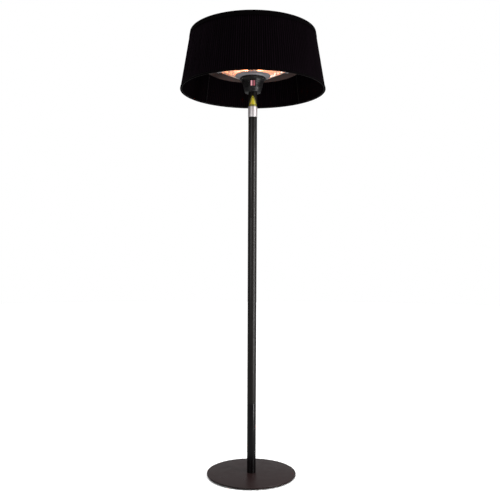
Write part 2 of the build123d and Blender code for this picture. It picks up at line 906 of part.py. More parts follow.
def make_element_end_caps():
    caps = []
    for side in (-1, 1):
        mouth = side * (half_tube - cap_overlap)
        outer = side * (half_tube - cap_overlap + cap_length)
        cap = rod((element_offset, mouth, element_level),
                  (element_offset, outer, element_level), cap_radius)
        cap -= rod((element_offset, mouth - side, element_level),
                   (element_offset, side * half_tube, element_level),
                   element_radius + slip_clearance)
        cap += rod((element_offset, mouth, element_level),
                   (element_offset, side * (half_tube + 1), element_level),
                   element_radius - element_wall - slip_clearance)
        caps.append(cap)
    return Compound([Rot(0, 0, turn) * cap for turn in element_angles() for cap in caps])


def reflector_roof(radius):
    """Height of the reflector roof's lower face at a radius."""
    fall = reflector_shoulder_drop / (reflector_shoulder_radius - reflector_flat_radius)
    return reflector_bottom - fall * max(0.0, radius - reflector_flat_radius)


def make_element_brackets():
    """Straps over the end caps, each hung from the reflector's roof."""
    brackets = []
    for side in (-1, 1):
        middle = side * (half_tube - cap_overlap + bracket_width / 2 + 0.5)
        outer = cap_radius + slip_clearance + bracket_thickness
        near = hypot(element_offset - outer, middle)
        roof = reflector_roof(hypot(element_offset, middle) + outer)
        loop = rod((element_offset, middle - bracket_width / 2, element_level),
                   (element_offset, middle + bracket_width / 2, element_level), outer)
        hanger = Pos(element_offset - outer + bracket_thickness / 2, middle,
                     (element_level + roof) / 2) * Box(bracket_thickness, bracket_width,
                                                       roof - element_level)
        strap = loop + hanger
        strap -= rod((element_offset, middle - bracket_width, element_level),
                     (element_offset, middle + bracket_width, element_level),
                     cap_radius + slip_clearance)
        brackets.append(strap)
    return Compound([Rot(0, 0, turn) * b for turn in element_angles() for b in brackets])


def make_element_leads():
    run_level = (reflector_top + hood_crown_inside - hood_crown_shoulder_drop) / 2 - 2.0
    points = [
        (lead_circle, 0, block_top + seat_gap),
        (lead_circle, 0, run_level),
        (cap_circle, 0, run_level),
        (cap_circle, 0, element_level + cap_radius + seat_gap),
    ]
    lead = flex_along(points, [lead_bend, lead_bend], lead_radius)
    return Compound([Rot(0, 0, turn) * lead for turn in lead_angles()])


# ---------------------------------------------------------------- shade and its frame
def make_central_stud():
    return disc(stud_radius, column_top - 15, hub_top + finial_height / 2)


def make_stud_nuts():
    bore = stud_radius + thread_clearance
    return Compound([
        hex_nut(nut_radius, bore, level, nut_height)
        for level in (reflector_bottom - nut_height, hood_crown_top, hub_bottom - nut_height)
    ])


def make_spider_hub():
    return tube(hub_radius, stud_radius + slip_clearance, hub_bottom, hub_top)


top_ring_level = shade_top_height - shade_ring_inset - shade_ring_wire
bottom_ring_level = shade_bottom_height + shade_ring_inset


def shade_ring_radius(level):
    lean = hypot(1, shade_slope)
    return shade_radius(level) - (shade_thickness + shade_ring_wire + seat_gap) * lean


def make_spider_arms():
    start_radius = hub_radius + strut_wire / 2
    end_radius = shade_ring_radius(top_ring_level) - shade_ring_wire - weld_gap
    start_level = hub_top - hub_thickness / 2
    arm = rod((start_radius, 0, start_level), (end_radius, 0, top_ring_level), strut_wire)
    arm -= disc(hub_radius + weld_gap, hub_bottom - 5, hub_top + 5)
    return around(arm, strut_count, strut_first_angle)


def make_shade_top_ring():
    return wire_ring(shade_ring_radius(top_ring_level), shade_ring_wire, top_ring_level)


def make_shade_bottom_ring():
    return wire_ring(shade_ring_radius(bottom_ring_level), shade_ring_wire, bottom_ring_level)


def make_shade_struts():
    low = bottom_ring_level + shade_ring_wire + weld_gap
    high = top_ring_level - shade_ring_wire - weld_gap
    strut = rod((shade_ring_radius(low), 0, low), (shade_ring_radius(high), 0, high),
                strut_wire)
    return around(strut, strut_count, strut_first_angle)


def cone_skin(bottom, top, outside, thickness):
    """A band of the shade's cone; outside is how far it stands off the fabric's face."""
    return revolved(
        (shade_radius(bottom) + outside - thickness, bottom),
        (shade_radius(bottom) + outside, bottom),
        (shade_radius(top) + outside, top),
        (shade_radius(top) + outside - thickness, top),
    )


def make_shade_fabric():
    return cone_skin(shade_bottom_height, shade_top_height, 0, shade_thickness)


def make_shade_top_band():
    return cone_skin(shade_top_height - top_band_height, shade_top_height, band_thickness,
                     band_thickness)


def make_shade_bottom_band():
    return cone_skin(shade_bottom_height, shade_bottom_height + bottom_band_height,
                     band_thickness, band_thickness)


def make_finial():
    knob = disc(finial_radius, hub_top, hub_top + finial_height)
    knob = fillet(knob.edges().group_by(Axis.Z)[-1], finial_round)
    return knob - disc(stud_radius + thread_clearance, hub_top - 1,
                       hub_top + finial_height / 2 + seat_gap)


# ---------------------------------------------------------------- all nodes
nodes = {
    "base_plate": make_base_plate(),
    "base_feet": make_base_feet(),
    "base_bolts": make_base_bolts(),
    "pole_foot_plug": make_pole_foot_plug(),
    "pole_lower": make_pole_lower(),
    "pole_middle": pole_length(pole_lower_top, pole_middle_top),
    "pole_upper": pole_length(pole_middle_top, pole_top),
    "pole_coupler_lower": pole_coupler(pole_lower_top),
    "pole_coupler_upper": pole_coupler(pole_middle_top),
    "cable_gland": make_cable_gland(),
    "internal_flex": make_internal_flex(),
    "collar": make_collar(),
    "collar_grub_screw": make_collar_grub_screw(),
    "neck_tube": make_neck_tube(),
    "neck_locknut": make_neck_locknut(),
    "triangle_label": make_triangle_label(),
    "switch_housing": make_switch_housing(),
    "housing_cover": make_housing_cover(),
    "housing_screws": make_housing_screws(),
    "switch_bezel": make_switch_bezel(),
    "rocker_pin": make_rocker_pin(),
    "rocker_left": rocker(-1),
    "rocker_right": rocker(1),
    "switch_body": make_switch_body(),
    "switch_terminals": make_switch_terminals(),
    "terminal_block": make_terminal_block(),
    "terminal_screws": make_terminal_screws(),
    "tilt_switch_case": make_tilt_switch_case(),
    "tilt_switch_pin": make_tilt_switch_pin(),
    "tilt_switch_pendulum": make_tilt_switch_pendulum(),
    "guard_dish": make_guard_dish(),
    "guard_ribs": make_guard_ribs(),
    "guard_rings": make_guard_rings(),
    "guard_rim": make_guard_rim(),
    "guard_clips": make_guard_clips(),
    "guard_screws": make_guard_screws(),
    "central_column": make_central_column(),
    "reflector": make_reflector(),
    "reflector_spacers": make_reflector_spacers(),
    "thermal_cutout": make_thermal_cutout(),
    "hood": make_hood(),
    "element_filaments": make_element_filaments(),
    "element_end_caps": make_element_end_caps(),
    "element_brackets": make_element_brackets(),
    "element_leads": make_element_leads(),
    "central_stud": make_central_stud(),
    "stud_nuts": make_stud_nuts(),
    "spider_hub": make_spider_hub(),
    "spider_arms": make_spider_arms(),
    "shade_top_ring": make_shade_top_ring(),
    "shade_bottom_ring": make_shade_bottom_ring(),
    "shade_struts": make_shade_struts(),
    "shade_fabric": make_shade_fabric(),
    "shade_top_band": make_shade_top_band(),
    "shade_bottom_band": make_shade_bottom_band(),
    "finial": make_finial(),
}
for number, turn in enumerate(element_angles(), 1):
    nodes[f"element_tube_{number}"] = make_element_tube(turn)

os.makedirs("parts", exist_ok=True)
for name, shape in nodes.items():
    export_step(shape, f"parts/{name}.step")
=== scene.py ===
import math
import random

import bmesh
import bpy
from mathutils import Matrix, Vector


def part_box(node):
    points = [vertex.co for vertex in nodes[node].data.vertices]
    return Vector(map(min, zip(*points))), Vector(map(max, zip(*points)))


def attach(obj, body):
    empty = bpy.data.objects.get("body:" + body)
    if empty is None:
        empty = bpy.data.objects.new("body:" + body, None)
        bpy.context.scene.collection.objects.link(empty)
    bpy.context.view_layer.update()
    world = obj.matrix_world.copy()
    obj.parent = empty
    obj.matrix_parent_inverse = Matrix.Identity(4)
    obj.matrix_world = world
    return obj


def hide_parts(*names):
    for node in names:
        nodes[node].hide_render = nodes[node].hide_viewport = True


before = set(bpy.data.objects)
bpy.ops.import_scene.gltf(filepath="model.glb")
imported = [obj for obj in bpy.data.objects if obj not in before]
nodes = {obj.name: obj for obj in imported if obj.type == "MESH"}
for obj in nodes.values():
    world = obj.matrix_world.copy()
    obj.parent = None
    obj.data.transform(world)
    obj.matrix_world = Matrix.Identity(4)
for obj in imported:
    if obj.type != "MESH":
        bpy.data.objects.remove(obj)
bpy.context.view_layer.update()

MM = 0.001
FULL = 2 * math.pi
random.seed(12)


# ---------------------------------------------------------------- places taken from the frame
def low(node):
    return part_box(node)[0]


def high(node):
    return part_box(node)[1]


base_radius = high("base_plate").x
base_under = low("base_plate").z
base_face = high("base_plate").z
pole_radius = high("pole_upper").x
pole_bottom = low("pole_lower").z
lower_joint = high("pole_lower").z
upper_joint = high("pole_middle").z
pole_top = high("pole_upper").z
collar_top = high("collar").z
collar_radius = high("collar").x
neck_radius = high("neck_tube").x
housing_bottom = low("switch_housing").z
dish_radius = high("guard_dish").x
housing_lip = high("switch_housing").x
rim_wire = (high("guard_rim").z - low("guard_rim").z) / 2
rim_radius = high("guard_rim").x - rim_wire
rim_level = low("guard_rim").z + rim_wire
hood_radius = high("hood").x
shade_bottom = low("shade_fabric").z
shade_top = high("shade_fabric").z
shade_bottom_radius = high("shade_fabric").x
shade_top_radius = high("shade_top_ring").x + 2.43 * MM

# ---------------------------------------------------------------- sizes that only the looks need
spindle = 0.6 * MM         # radius at which a turned disc stops before its middle is closed
pleats = 196
cloth_scale = 0.31         # metres along the cloth for one radian round the shade
sheet_roll = 0.8 * MM      # rounding of cut tube and sheet ends
stud_hole = 5.1 * MM       # hole in hood and reflector for the central stud
roof_flat = 60 * MM        # radius of the hood's flat roof
tape_proud = 0.55 * MM     # how far the shade's tapes stand out from its cloth
tape_back = 3.3 * MM       # and how far their inner side lies behind it
tape_fold = 1.9 * MM       # radius of their fold over the cloth's edge


# ---------------------------------------------------------------- material building
class Finish:
    """A material and its node tree, with short ways to add procedural detail."""

    def __init__(self, name, colour, roughness, metallic=0.0):
        self.material = bpy.data.materials.new(name)
        self.material.use_nodes = True
        self.tree = self.material.node_tree
        self.shader = self.tree.nodes["Principled BSDF"]
        self.shader.inputs["Base Color"].default_value = (*colour, 1)
        self.shader.inputs["Roughness"].default_value = roughness
        self.shader.inputs["Metallic"].default_value = metallic

    def set(self, socket, value):
        self.shader.inputs[socket].default_value = value

    def add(self, kind, **settings):
        made = self.tree.nodes.new(kind)
        for name, value in settings.items():
            if name in made.inputs:
                made.inputs[name].default_value = value
            else:
                setattr(made, name, value)
        return made

    def link(self, source, target):
        self.tree.links.new(source, target)

    def noise(self, size, scale=(1, 1, 1), detail=3.0, coordinate="Object"):
        """Noise on the piece's own coordinates, finer along each axis by scale."""
        where = self.add("ShaderNodeTexCoord")
        stretch = self.add("ShaderNodeMapping")
        stretch.inputs["Scale"].default_value = scale
        self.link(where.outputs[coordinate], stretch.inputs["Vector"])
        made = self.add("ShaderNodeTexNoise", Scale=size, Detail=detail)
        self.link(stretch.outputs["Vector"], made.inputs["Vector"])
        return made.outputs["Fac"]

    def along_x(self, coordinate):
        """The X part of the piece's Object coordinates or UV map."""
        where = self.add("ShaderNodeTexCoord")
        parts = self.add("ShaderNodeSeparateXYZ")
        self.link(where.outputs[coordinate], parts.inputs["Vector"])
        return parts.outputs["X"]

    def math(self, operation, first, second=None):
        """One Math node; the second value is a number or another node's output."""
        made = self.add("ShaderNodeMath", operation=operation)
        self.link(first, made.inputs[0])
        if isinstance(second, float):
            made.inputs[1].default_value = second
        elif second is not None:
            self.link(second, made.inputs[1])
        return made.outputs[0]

    def blend(self, value, first, second, socket="Base Color"):
        """Feeds a colour socket from first to second as value goes from 0 to 1."""
        factor, start, stop, result = 0, 6, 7, 2     # a Mix node's sockets for colour
        ramp = self.add("ShaderNodeMix", data_type="RGBA")
        ramp.inputs[start].default_value = (*first, 1)
        ramp.inputs[stop].default_value = (*second, 1)
        self.link(value, ramp.inputs[factor])
        self.link(ramp.outputs[result], self.shader.inputs[socket])

    def spread(self, value, low_in, high_in, low_out, high_out):
        made = self.add("ShaderNodeMapRange")
        for socket, number in zip(made.inputs[1:5], (low_in, high_in, low_out, high_out)):
            socket.default_value = number
        self.link(value, made.inputs["Value"])
        return made.outputs["Result"]

    def vary_roughness(self, value, least, most):
        self.link(self.spread(value, 0.3, 0.7, least, most), self.shader.inputs["Roughness"])

    def bump(self, height, strength, depth):
        made = self.add("ShaderNodeBump", Strength=strength, Distance=depth)
        self.link(height, made.inputs["Height"])
        self.link(made.outputs["Normal"], self.shader.inputs["Normal"])


def powder_coat(name, dark, light, roughness, shine):
    """Sprayed and baked paint: fine orange peel and a slightly uneven gloss."""
    finish = Finish(name, dark, roughness)
    finish.set("Specular IOR Level", shine)
    finish.blend(finish.noise(9.0), dark, light)
    finish.vary_roughness(finish.noise(24.0), roughness - 0.05, roughness + 0.06)
    finish.bump(finish.noise(1400.0, detail=2.0), 0.25, 0.12 * MM)
    return finish.material


def brushed_metal(name, dark, light, roughness, stretch, strength=0.3):
    """Metal with fine brush lines, which run across the direction of largest stretch."""
    finish = Finish(name, dark, roughness, metallic=1.0)
    lines = finish.noise(1.0, stretch, detail=4.0)
    finish.blend(lines, dark, light)
    finish.vary_roughness(lines, roughness - 0.07, roughness + 0.09)
    finish.bump(lines, strength, 0.08 * MM)
    return finish.material


def moulded(name, colour, roughness, shine=0.5, grain=1800.0, strength=0.3):
    """Plastic, rubber or fired clay with the fine grain of its mould."""
    finish = Finish(name, colour, roughness)
    finish.set("Specular IOR Level", shine)
    pale = tuple(min(1.0, c * 1.35 + 0.002) for c in colour)
    finish.blend(finish.noise(40.0), colour, pale)
    finish.vary_roughness(finish.noise(160.0), roughness - 0.04, roughness + 0.05)
    finish.bump(finish.noise(grain, detail=2.0), strength, 0.1 * MM)
    return finish.material


def glowing(name, core, edge, strength, stretch):
    """A lit part: its light is a little uneven."""
    finish = Finish(name, core, 0.3)
    finish.blend(finish.noise(1.0, stretch, detail=2.0), core, edge, "Emission Color")
    finish.set("Emission Strength", strength)
    return finish


def lit_lens(name, node, colour, pale, strength):
    """A translucent red lens lit from behind: bright down its middle and dark at its sides."""
    finish = glowing(name, colour, pale, strength, (60, 60, 90))
    finish.set("Base Color", (0.16, 0.02, 0.03, 1))
    middle = (low(node).x + high(node).x) / 2
    half = (high(node).x - low(node).x) / 2
    away = finish.math("ABSOLUTE", finish.math("SUBTRACT", finish.along_x("Object"), middle))
    fall = finish.spread(away, half * 0.62, half * 0.88, strength, strength * 0.08)
    finish.link(fall, finish.shader.inputs["Emission Strength"])
    return finish.material


def pleated_cloth(name, dark, light):
    """Plain-woven black cloth: threads both ways, and fold crests painted lighter as a painted
    highlight.
    """
    finish = Finish(name, dark, 0.85)
    finish.set("Specular IOR Level", 0.015)
    # The fold crests get the lighter colour: a painted highlight, varied at random along each pleat.
    turn = finish.math("MULTIPLY", finish.along_x("UV"), pleats / (FULL * cloth_scale))
    crest = finish.spread(finish.math("FRACT", turn), 0.35, 0.85, 0.0, 1.0)
    uneven = finish.noise(1.0, (60, 7, 1), coordinate="UV")
    painted_crest_highlight = finish.math("MULTIPLY", crest, finish.spread(uneven, 0.3, 0.7, 0.5, 1.0))
    finish.blend(painted_crest_highlight, dark, light)
    warp = finish.noise(1.0, (2600, 90, 1), detail=1.0, coordinate="UV")
    weft = finish.noise(1.0, (90, 2600, 1), detail=1.0, coordinate="UV")
    finish.bump(finish.math("ADD", warp, weft), 0.12, 0.2 * MM)
    return finish.material


def amber_quartz(name):
    """Amber quartz lit from within, with a faint cloud in it."""
    finish = Finish(name, (0.9, 0.34, 0.08), 0.12)
    cloud = finish.noise(1.0, (35, 35, 35), detail=2.0)
    finish.blend(cloud, (1.0, 0.42, 0.17), (1.0, 0.52, 0.25), "Emission Color")
    finish.set("Emission Strength", 6.0)
    finish.set("Alpha", 0.6)
    return finish.material


def bordered_sticker(name, yellow, ink):
    """A yellow sticker with a dark line inside its edge; its UV map runs from middle to edge."""
    finish = Finish(name, yellow, 0.4)
    line = finish.add("ShaderNodeMath", operation="COMPARE")
    line.inputs[1].default_value = 0.77
    line.inputs[2].default_value = 0.085
    finish.link(finish.along_x("UV"), line.inputs[0])
    finish.blend(line.outputs[0], yellow, ink)
    finish.bump(finish.noise(700.0), 0.08, 0.1 * MM)
    return finish.material


base_paint = powder_coat(
    "base_paint", (0.0096, 0.0044, 0.0044), (0.0114, 0.0056, 0.0056), 0.32, shine=0.20
)
pole_paint = powder_coat(
    "pole_paint", (0.0034, 0.0022, 0.0016), (0.0044, 0.0030, 0.0022), 0.40, shine=0.26
)
pole_gloss = powder_coat(
    "pole_gloss", (0.0014, 0.0009, 0.0011), (0.0020, 0.0013, 0.0016), 0.22, shine=0.22
)
hood_paint = powder_coat(
    "hood_paint", (0.040, 0.028, 0.026), (0.048, 0.034, 0.032), 0.65, shine=0.12
)
housing_black = moulded("housing_black", (0.0032, 0.0027, 0.0031), 0.40, shine=0.26)
bezel_black = moulded("bezel_black", (0.0030, 0.0028, 0.0032), 0.25, strength=0.08)
zinc_steel = brushed_metal(
    "zinc_steel", (0.42, 0.42, 0.43), (0.6, 0.6, 0.6), 0.32, (300, 300, 300)
)
collar_metal = brushed_metal(
    "collar_metal", (0.36, 0.33, 0.335), (0.74, 0.70, 0.71), 0.50, (6, 6, 420)
)
guard_metal = brushed_metal(
    "guard_metal", (0.84, 0.78, 0.72), (0.92, 0.86, 0.80), 0.45, (400, 400, 400), 0.1
)
dish_metal = brushed_metal(
    "dish_metal", (0.24, 0.23, 0.25), (0.52, 0.50, 0.53), 0.45, (30, 30, 520)
)
# Its warm tint is painted light: the elements' orange glow put into the reflector's colour.
reflector_painted_glow_metal = brushed_metal(
    "reflector_painted_glow_metal", (0.88, 0.72, 0.60), (0.94, 0.80, 0.70), 0.55, (30, 30, 700), 0.1
)
brass_metal = brushed_metal(
    "brass_metal", (0.5, 0.34, 0.12), (0.62, 0.45, 0.18), 0.3, (500, 500, 500)
)
ceramic = moulded("ceramic", (0.62, 0.58, 0.52), 0.6, grain=900.0)
black_rubber = moulded("black_rubber", (0.012, 0.012, 0.012), 0.7, grain=1100.0)
foot_rubber = moulded("foot_rubber", (0.58, 0.57, 0.55), 0.45, grain=700.0, strength=0.15)
lead_sleeve = moulded("lead_sleeve", (0.55, 0.52, 0.46), 0.8, grain=2500.0, strength=0.6)
frame_paint = powder_coat(
    "frame_paint", (0.0024, 0.0020, 0.0023), (0.0036, 0.0031, 0.0035), 0.6, shine=0.08
)
# The second colour is the painted highlight on the fold crests; the tapes get it too.
shade_cloth = pleated_cloth("shade_cloth", (0.0004, 0.0001, 0.0003), (0.0038, 0.0016, 0.0034))
shade_tape = pleated_cloth("shade_tape", (0.0006, 0.0003, 0.0005), (0.0011, 0.0006, 0.0009))
filament_glow = glowing(
    "filament_glow", (1.0, 0.58, 0.26), (1.0, 0.72, 0.44), 12.0, (90, 90, 90)
).material
# The left lens glows stronger than the right: a painted highlight, not a brighter lamp.
rocker_lit_painted_highlight = lit_lens("rocker_lit_painted_highlight", "rocker_left", (0.60, 0.30, 0.34), (0.70, 0.40, 0.44), 1.0)
rocker_dim = lit_lens("rocker_dim", "rocker_right", (0.56, 0.18, 0.22), (0.62, 0.22, 0.27), 0.42)
quartz_amber = amber_quartz("quartz_amber")
label_yellow = bordered_sticker("label_yellow", (0.42, 0.36, 0.008), (0.02, 0.018, 0.01))


# ---------------------------------------------------------------- shape helpers
def add_piece(name, bm, material, replaces=(), body="root", sharp=35.0):
    """Writes a bmesh to a piece that rides on a CAD body and stands for the CAD nodes named."""
    mesh = bpy.data.meshes.new(name)
    bm.to_mesh(mesh)
    bm.free()
    mesh.shade_smooth()
    mesh.set_sharp_from_angle(angle=math.radians(sharp))
    piece = bpy.data.objects.new(name, mesh)
    bpy.context.scene.collection.objects.link(piece)
    mesh.materials.append(material)
    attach(piece, body)
    if replaces:
        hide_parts(*replaces)
    return piece


def arc(centre, radius, start, end, steps):
    """Points on an arc in the (radius, height) plane, angles in degrees."""
    turns = [math.radians(start + (end - start) * i / steps) for i in range(steps + 1)]
    return [(centre[0] + radius * math.cos(t), centre[1] + radius * math.sin(t)) for t in turns]


def turned(profile, segments, closed=True):
    """A bmesh turned about Z from (radius, height) points."""
    bm = bmesh.new()
    points = [bm.verts.new((r, 0, z)) for r, z in profile]
    edges = [bm.edges.new(pair) for pair in zip(points, points[1:])]
    if closed:
        edges.append(bm.edges.new((points[-1], points[0])))
    bmesh.ops.spin(bm, geom=points + edges, cent=(0, 0, 0), axis=(0, 0, 1), angle=FULL,
                   steps=segments, use_merge=True)
    bmesh.ops.remove_doubles(bm, verts=bm.verts, dist=1e-6)
    bmesh.ops.recalc_face_normals(bm, faces=bm.faces)
    return bm


def joined(shapes):
    """Several bmeshes as one."""
    whole = bmesh.new()
    for shape in shapes:
        mesh = bpy.data.meshes.new("part")
        shape.to_mesh(mesh)
        shape.free()
        whole.from_mesh(mesh)
        bpy.data.meshes.remove(mesh)
    return whole


def repeated(shape, count, first=0.0):
    """Copies of a bmesh, evenly spaced round the Z axis."""
    bmesh.ops.rotate(shape, verts=shape.verts, cent=(0, 0, 0),
                     matrix=Matrix.Rotation(math.radians(first), 3, "Z"))
    source = list(shape.verts) + list(shape.edges) + list(shape.faces)
    for i in range(1, count):
        copy = bmesh.ops.duplicate(shape, geom=source)
        corners = [g for g in copy["geom"] if isinstance(g, bmesh.types.BMVert)]
        bmesh.ops.rotate(shape, verts=corners, cent=(0, 0, 0),
                         matrix=Matrix.Rotation(FULL * i / count, 3, "Z"))
    return shape


def rod(start, stop, radius, sides=8):
    """A straight round wire from start to stop."""
    run = stop - start
    turn = run.to_track_quat("Z", "Y").to_matrix().to_4x4()
    bm = bmesh.new()
    bmesh.ops.create_cone(bm, cap_ends=True, segments=sides, radius1=radius, radius2=radius,
                          depth=run.length,
                          matrix=Matrix.Translation((start + stop) / 2) @ turn)
    return bm


def ring_wire(radius, wire, level, sides, segments):
    """A wire of the given radius bent into a ring about the Z axis."""
    return turned([(radius + wire * math.cos(FULL * i / sides),
                    level + wire * math.sin(FULL * i / sides)) for i in range(sides)], segments)


def softened(node, width, material, body="root", segments=2):
    """A CAD node's own shape with its edges rounded, as a new piece."""
    bm = bmesh.new()
    bm.from_mesh(nodes[node].data)
    bmesh.ops.remove_doubles(bm, verts=bm.verts, dist=2e-6)
    bmesh.ops.dissolve_limit(bm, angle_limit=math.radians(1.0), verts=bm.verts, edges=bm.edges)
    sharp = [e for e in bm.edges if e.is_manifold and e.calc_face_angle(0) > math.radians(35)]
    bmesh.ops.bevel(bm, geom=sharp, offset=width, offset_type="OFFSET", segments=segments,
                    profile=0.5, affect="EDGES", material=-1, clamp_overlap=True)
    add_piece(node + "_finished", bm, material, [node], body, 30.0)


def dress(node, material):
    """A CAD node that shows as it is, with its real finish."""
    mesh = nodes[node].data
    mesh.materials.clear()
    mesh.materials.append(material)


# ---------------------------------------------------------------- base and pole
def make_base_plate():
    """A round plate: its upper edge is rolled and its lower one barely broken."""
    roll = 1.4 * MM
    chamfer = 0.5 * MM
    profile = [(spindle, base_under), (base_radius - chamfer, base_under)]
    profile += [(base_radius, base_under + chamfer)]
    profile += arc((base_radius - roll, base_face - roll), roll, 0, 90, 5)
    profile += [(pole_radius * 1.6, base_face), (spindle, base_face)]
    plate = turned(profile, 256, closed=False)
    bmesh.ops.holes_fill(plate, edges=plate.edges, sides=300)
    add_piece("base_disc", plate, base_paint, ["base_plate"])


def make_feet():
    """Eight moulded feet, each with a sloped top edge and a dimple in its sole."""
    count = 8
    edge_distance = 22 * MM
    radius = 15 * MM
    slope_run, slope_drop = 2 * MM, 1.2 * MM
    sole = 2.2 * MM
    dimple = 1.2 * MM
    centre = 0.4 * MM
    profile = [(centre, base_under), (radius - slope_run, base_under)]
    profile += [(radius, base_under - slope_drop)]
    profile += arc((radius - sole, sole), sole, 0, -90, 5)
    profile += [(4 * MM, 0), (3.4 * MM, dimple), (centre, dimple)]
    foot = turned(profile, 40, closed=False)
    bmesh.ops.holes_fill(foot, edges=foot.edges, sides=60)
    bmesh.ops.translate(foot, verts=foot.verts, vec=(base_radius - edge_distance, 0, 0))
    front = -90
    quarter_spacing = 360 / count / 4
    feet = repeated(foot, count, front + quarter_spacing)
    add_piece("rubber_feet", feet, foot_rubber, ["base_feet"])


def make_pole(name, node, bottom, top, paint):
    """One tube of the pole: rolled ends, open inside."""
    wall = 1.5 * MM
    lip = 0.7 * MM
    profile = [(pole_radius - wall, bottom), (pole_radius - lip, bottom)]
    profile += arc((pole_radius - lip, bottom + lip), lip, -60, 0, 3)
    profile += arc((pole_radius - lip, top - lip), lip, 0, 60, 3)
    profile += [(pole_radius - lip, top), (pole_radius - wall, top)]
    add_piece(name, turned(profile, 96), paint, [node])


def make_collar():
    """A turned sleeve with seven fine grooves."""
    bore = pole_radius - 1.4 * MM
    roll = sheet_roll
    grooves = 7
    depth = 0.3 * MM
    pitch = (collar_top - pole_top) / (grooves + 1)
    profile = [(bore, pole_top + 0.2 * MM)]
    profile += arc((collar_radius - roll, pole_top + roll + 0.1 * MM), roll, -90, 0, 4)
    for i in range(grooves):
        middle = pole_top + pitch * (i + 1)
        for rise, cut in ((-0.7, 0), (-0.45, depth), (0.45, depth), (0.7, 0)):
            profile.append((collar_radius - cut, middle + rise * MM))
    profile += arc((collar_radius - roll, collar_top - roll - 0.1 * MM), roll, 0, 90, 4)
    profile += [(bore, collar_top - 0.1 * MM)]
    add_piece("collar_sleeve", turned(profile, 96), collar_metal, ["collar"])


def make_neck():
    """The painted neck: a plain spigot below its body, and a threaded end in the housing."""
    bore = 12.0 * MM
    spigot = 18.4 * MM
    thread = 15.0 * MM
    foot, head = low("neck_tube").z, high("neck_tube").z
    roll = 0.6 * MM
    profile = [(bore, foot), (spigot, foot), (spigot, collar_top)]
    profile += arc((neck_radius - roll, collar_top + roll), roll, -90, 0, 4)
    profile += arc((neck_radius - sheet_roll, housing_bottom - sheet_roll), sheet_roll, 0, 90, 4)
    profile += [(thread, housing_bottom), (thread, head), (bore, head)]
    add_piece("neck", turned(profile, 96), pole_paint, ["neck_tube"])


def sticker_outline(half, height, corner):
    """A rounded triangle, base down, as points (across, up) about 1.5 mm apart."""
    slope = math.atan2(height, half)
    lean = math.degrees(slope)
    foot = half - corner / math.tan(slope / 2)
    tip = height - corner / math.cos(slope)
    outline = arc((foot, corner), corner, -90, 90 - lean, 6)
    outline += arc((0, tip), corner, 90 - lean, 90 + lean, 6)
    outline += arc((-foot, corner), corner, 90 + lean, 270, 6)
    around = []
    for i, start in enumerate(outline):
        stop = outline[(i + 1) % len(outline)]
        parts = max(1, round(math.dist(start, stop) / (1.5 * MM)))
        around += [Vector(start).lerp(Vector(stop), k / parts) for k in range(parts)]
    return around


def make_label():
    """A blank rounded triangle bent round the neck; its UV map runs from 0 at its middle to 1."""
    thickness = 0.15 * MM
    box_low, box_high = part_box("triangle_label")
    radius = neck_radius + thickness
    half = radius * math.asin(min(0.98, box_high.x / radius))
    height = box_high.z - box_low.z
    centre = Vector((0, 0, height * 0.36))
    bm = bmesh.new()
    points = [bm.verts.new((x, 0, z)) for x, z in sticker_outline(half, height, 4 * MM)]
    ring = [bm.edges.new((points[i - 1], points[i])) for i in range(len(points))]
    share_of = dict.fromkeys(points, 1.0)
    last = 1.0
    for share in (0.93, 0.865, 0.81, 0.75, 0.675, 0.5, 0.3, 0.15, 0.0):
        grown = bmesh.ops.extrude_edge_only(bm, edges=ring)["geom"]
        corners = [g for g in grown if isinstance(g, bmesh.types.BMVert)]
        bmesh.ops.scale(bm, verts=corners, vec=(share / last,) * 3,
                        space=Matrix.Translation(-centre))
        share_of.update(dict.fromkeys(corners, share))
        ring = [g for g in grown if isinstance(g, bmesh.types.BMEdge)
                and all(share_of[v] == share for v in g.verts)]
        last = share
    uv = bm.loops.layers.uv.new("UVMap")
    for face in bm.faces:
        for loop in face.loops:
            loop[uv].uv = (share_of[loop.vert], 0.5)
    bmesh.ops.remove_doubles(bm, verts=bm.verts, dist=1e-6)
    for vert in bm.verts:
        turn = vert.co.x / radius
        vert.co = (radius * math.sin(turn), -radius * math.cos(turn), box_low.z + vert.co.z)
    bmesh.ops.recalc_face_normals(bm, faces=bm.faces)
    piece = add_piece("triangle_sticker", bm, label_yellow, ["triangle_label"])
    thick = piece.modifiers.new("thickness", "SOLIDIFY")
    thick.thickness = thickness
    thick.offset = 0


# ---------------------------------------------------------------- switch housing
def make_housing():
    softened("switch_housing", 0.35 * MM, housing_black)
    softened("switch_bezel", 0.3 * MM, bezel_black)
    for side, lens in (("left", rocker_lit_painted_highlight), ("right", rocker_dim)):
        softened("rocker_" + side, 0.4 * MM, lens, "rocker_" + side, segments=3)
    softened("housing_screws", 0.2 * MM, zinc_steel)


# ---------------------------------------------------------------- guard
def make_guard_dish():
    """The spun ring between the housing and the wires, with a shallow raised band round it."""
    thick = 1.5 * MM
    bore = 15 * MM
    seat = housing_lip - 1 * MM
    under = low("guard_dish").z
    rise = high("guard_dish").z - thick - under
    run = dish_radius - housing_lip
    lower = [(bore, under), (seat, under)]
    upper = [(bore, under + thick), (seat, under + thick)]
    for share, step in ((0.0, 0.0), (0.30, 0.0), (0.36, 0.7), (0.62, 0.7), (0.68, 0.0)):
        radius = housing_lip + run * share
        level = under + rise * share + step * MM
        lower.append((radius, level))
        upper.append((radius, level + thick))
    roll = thick / 2
    edge = arc((dish_radius - roll, under + rise + roll), roll, -60, 120, 6)
    add_piece("guard_dish_spun", turned(lower + edge + upper[::-1], 192), dish_metal,
              ["guard_dish"])


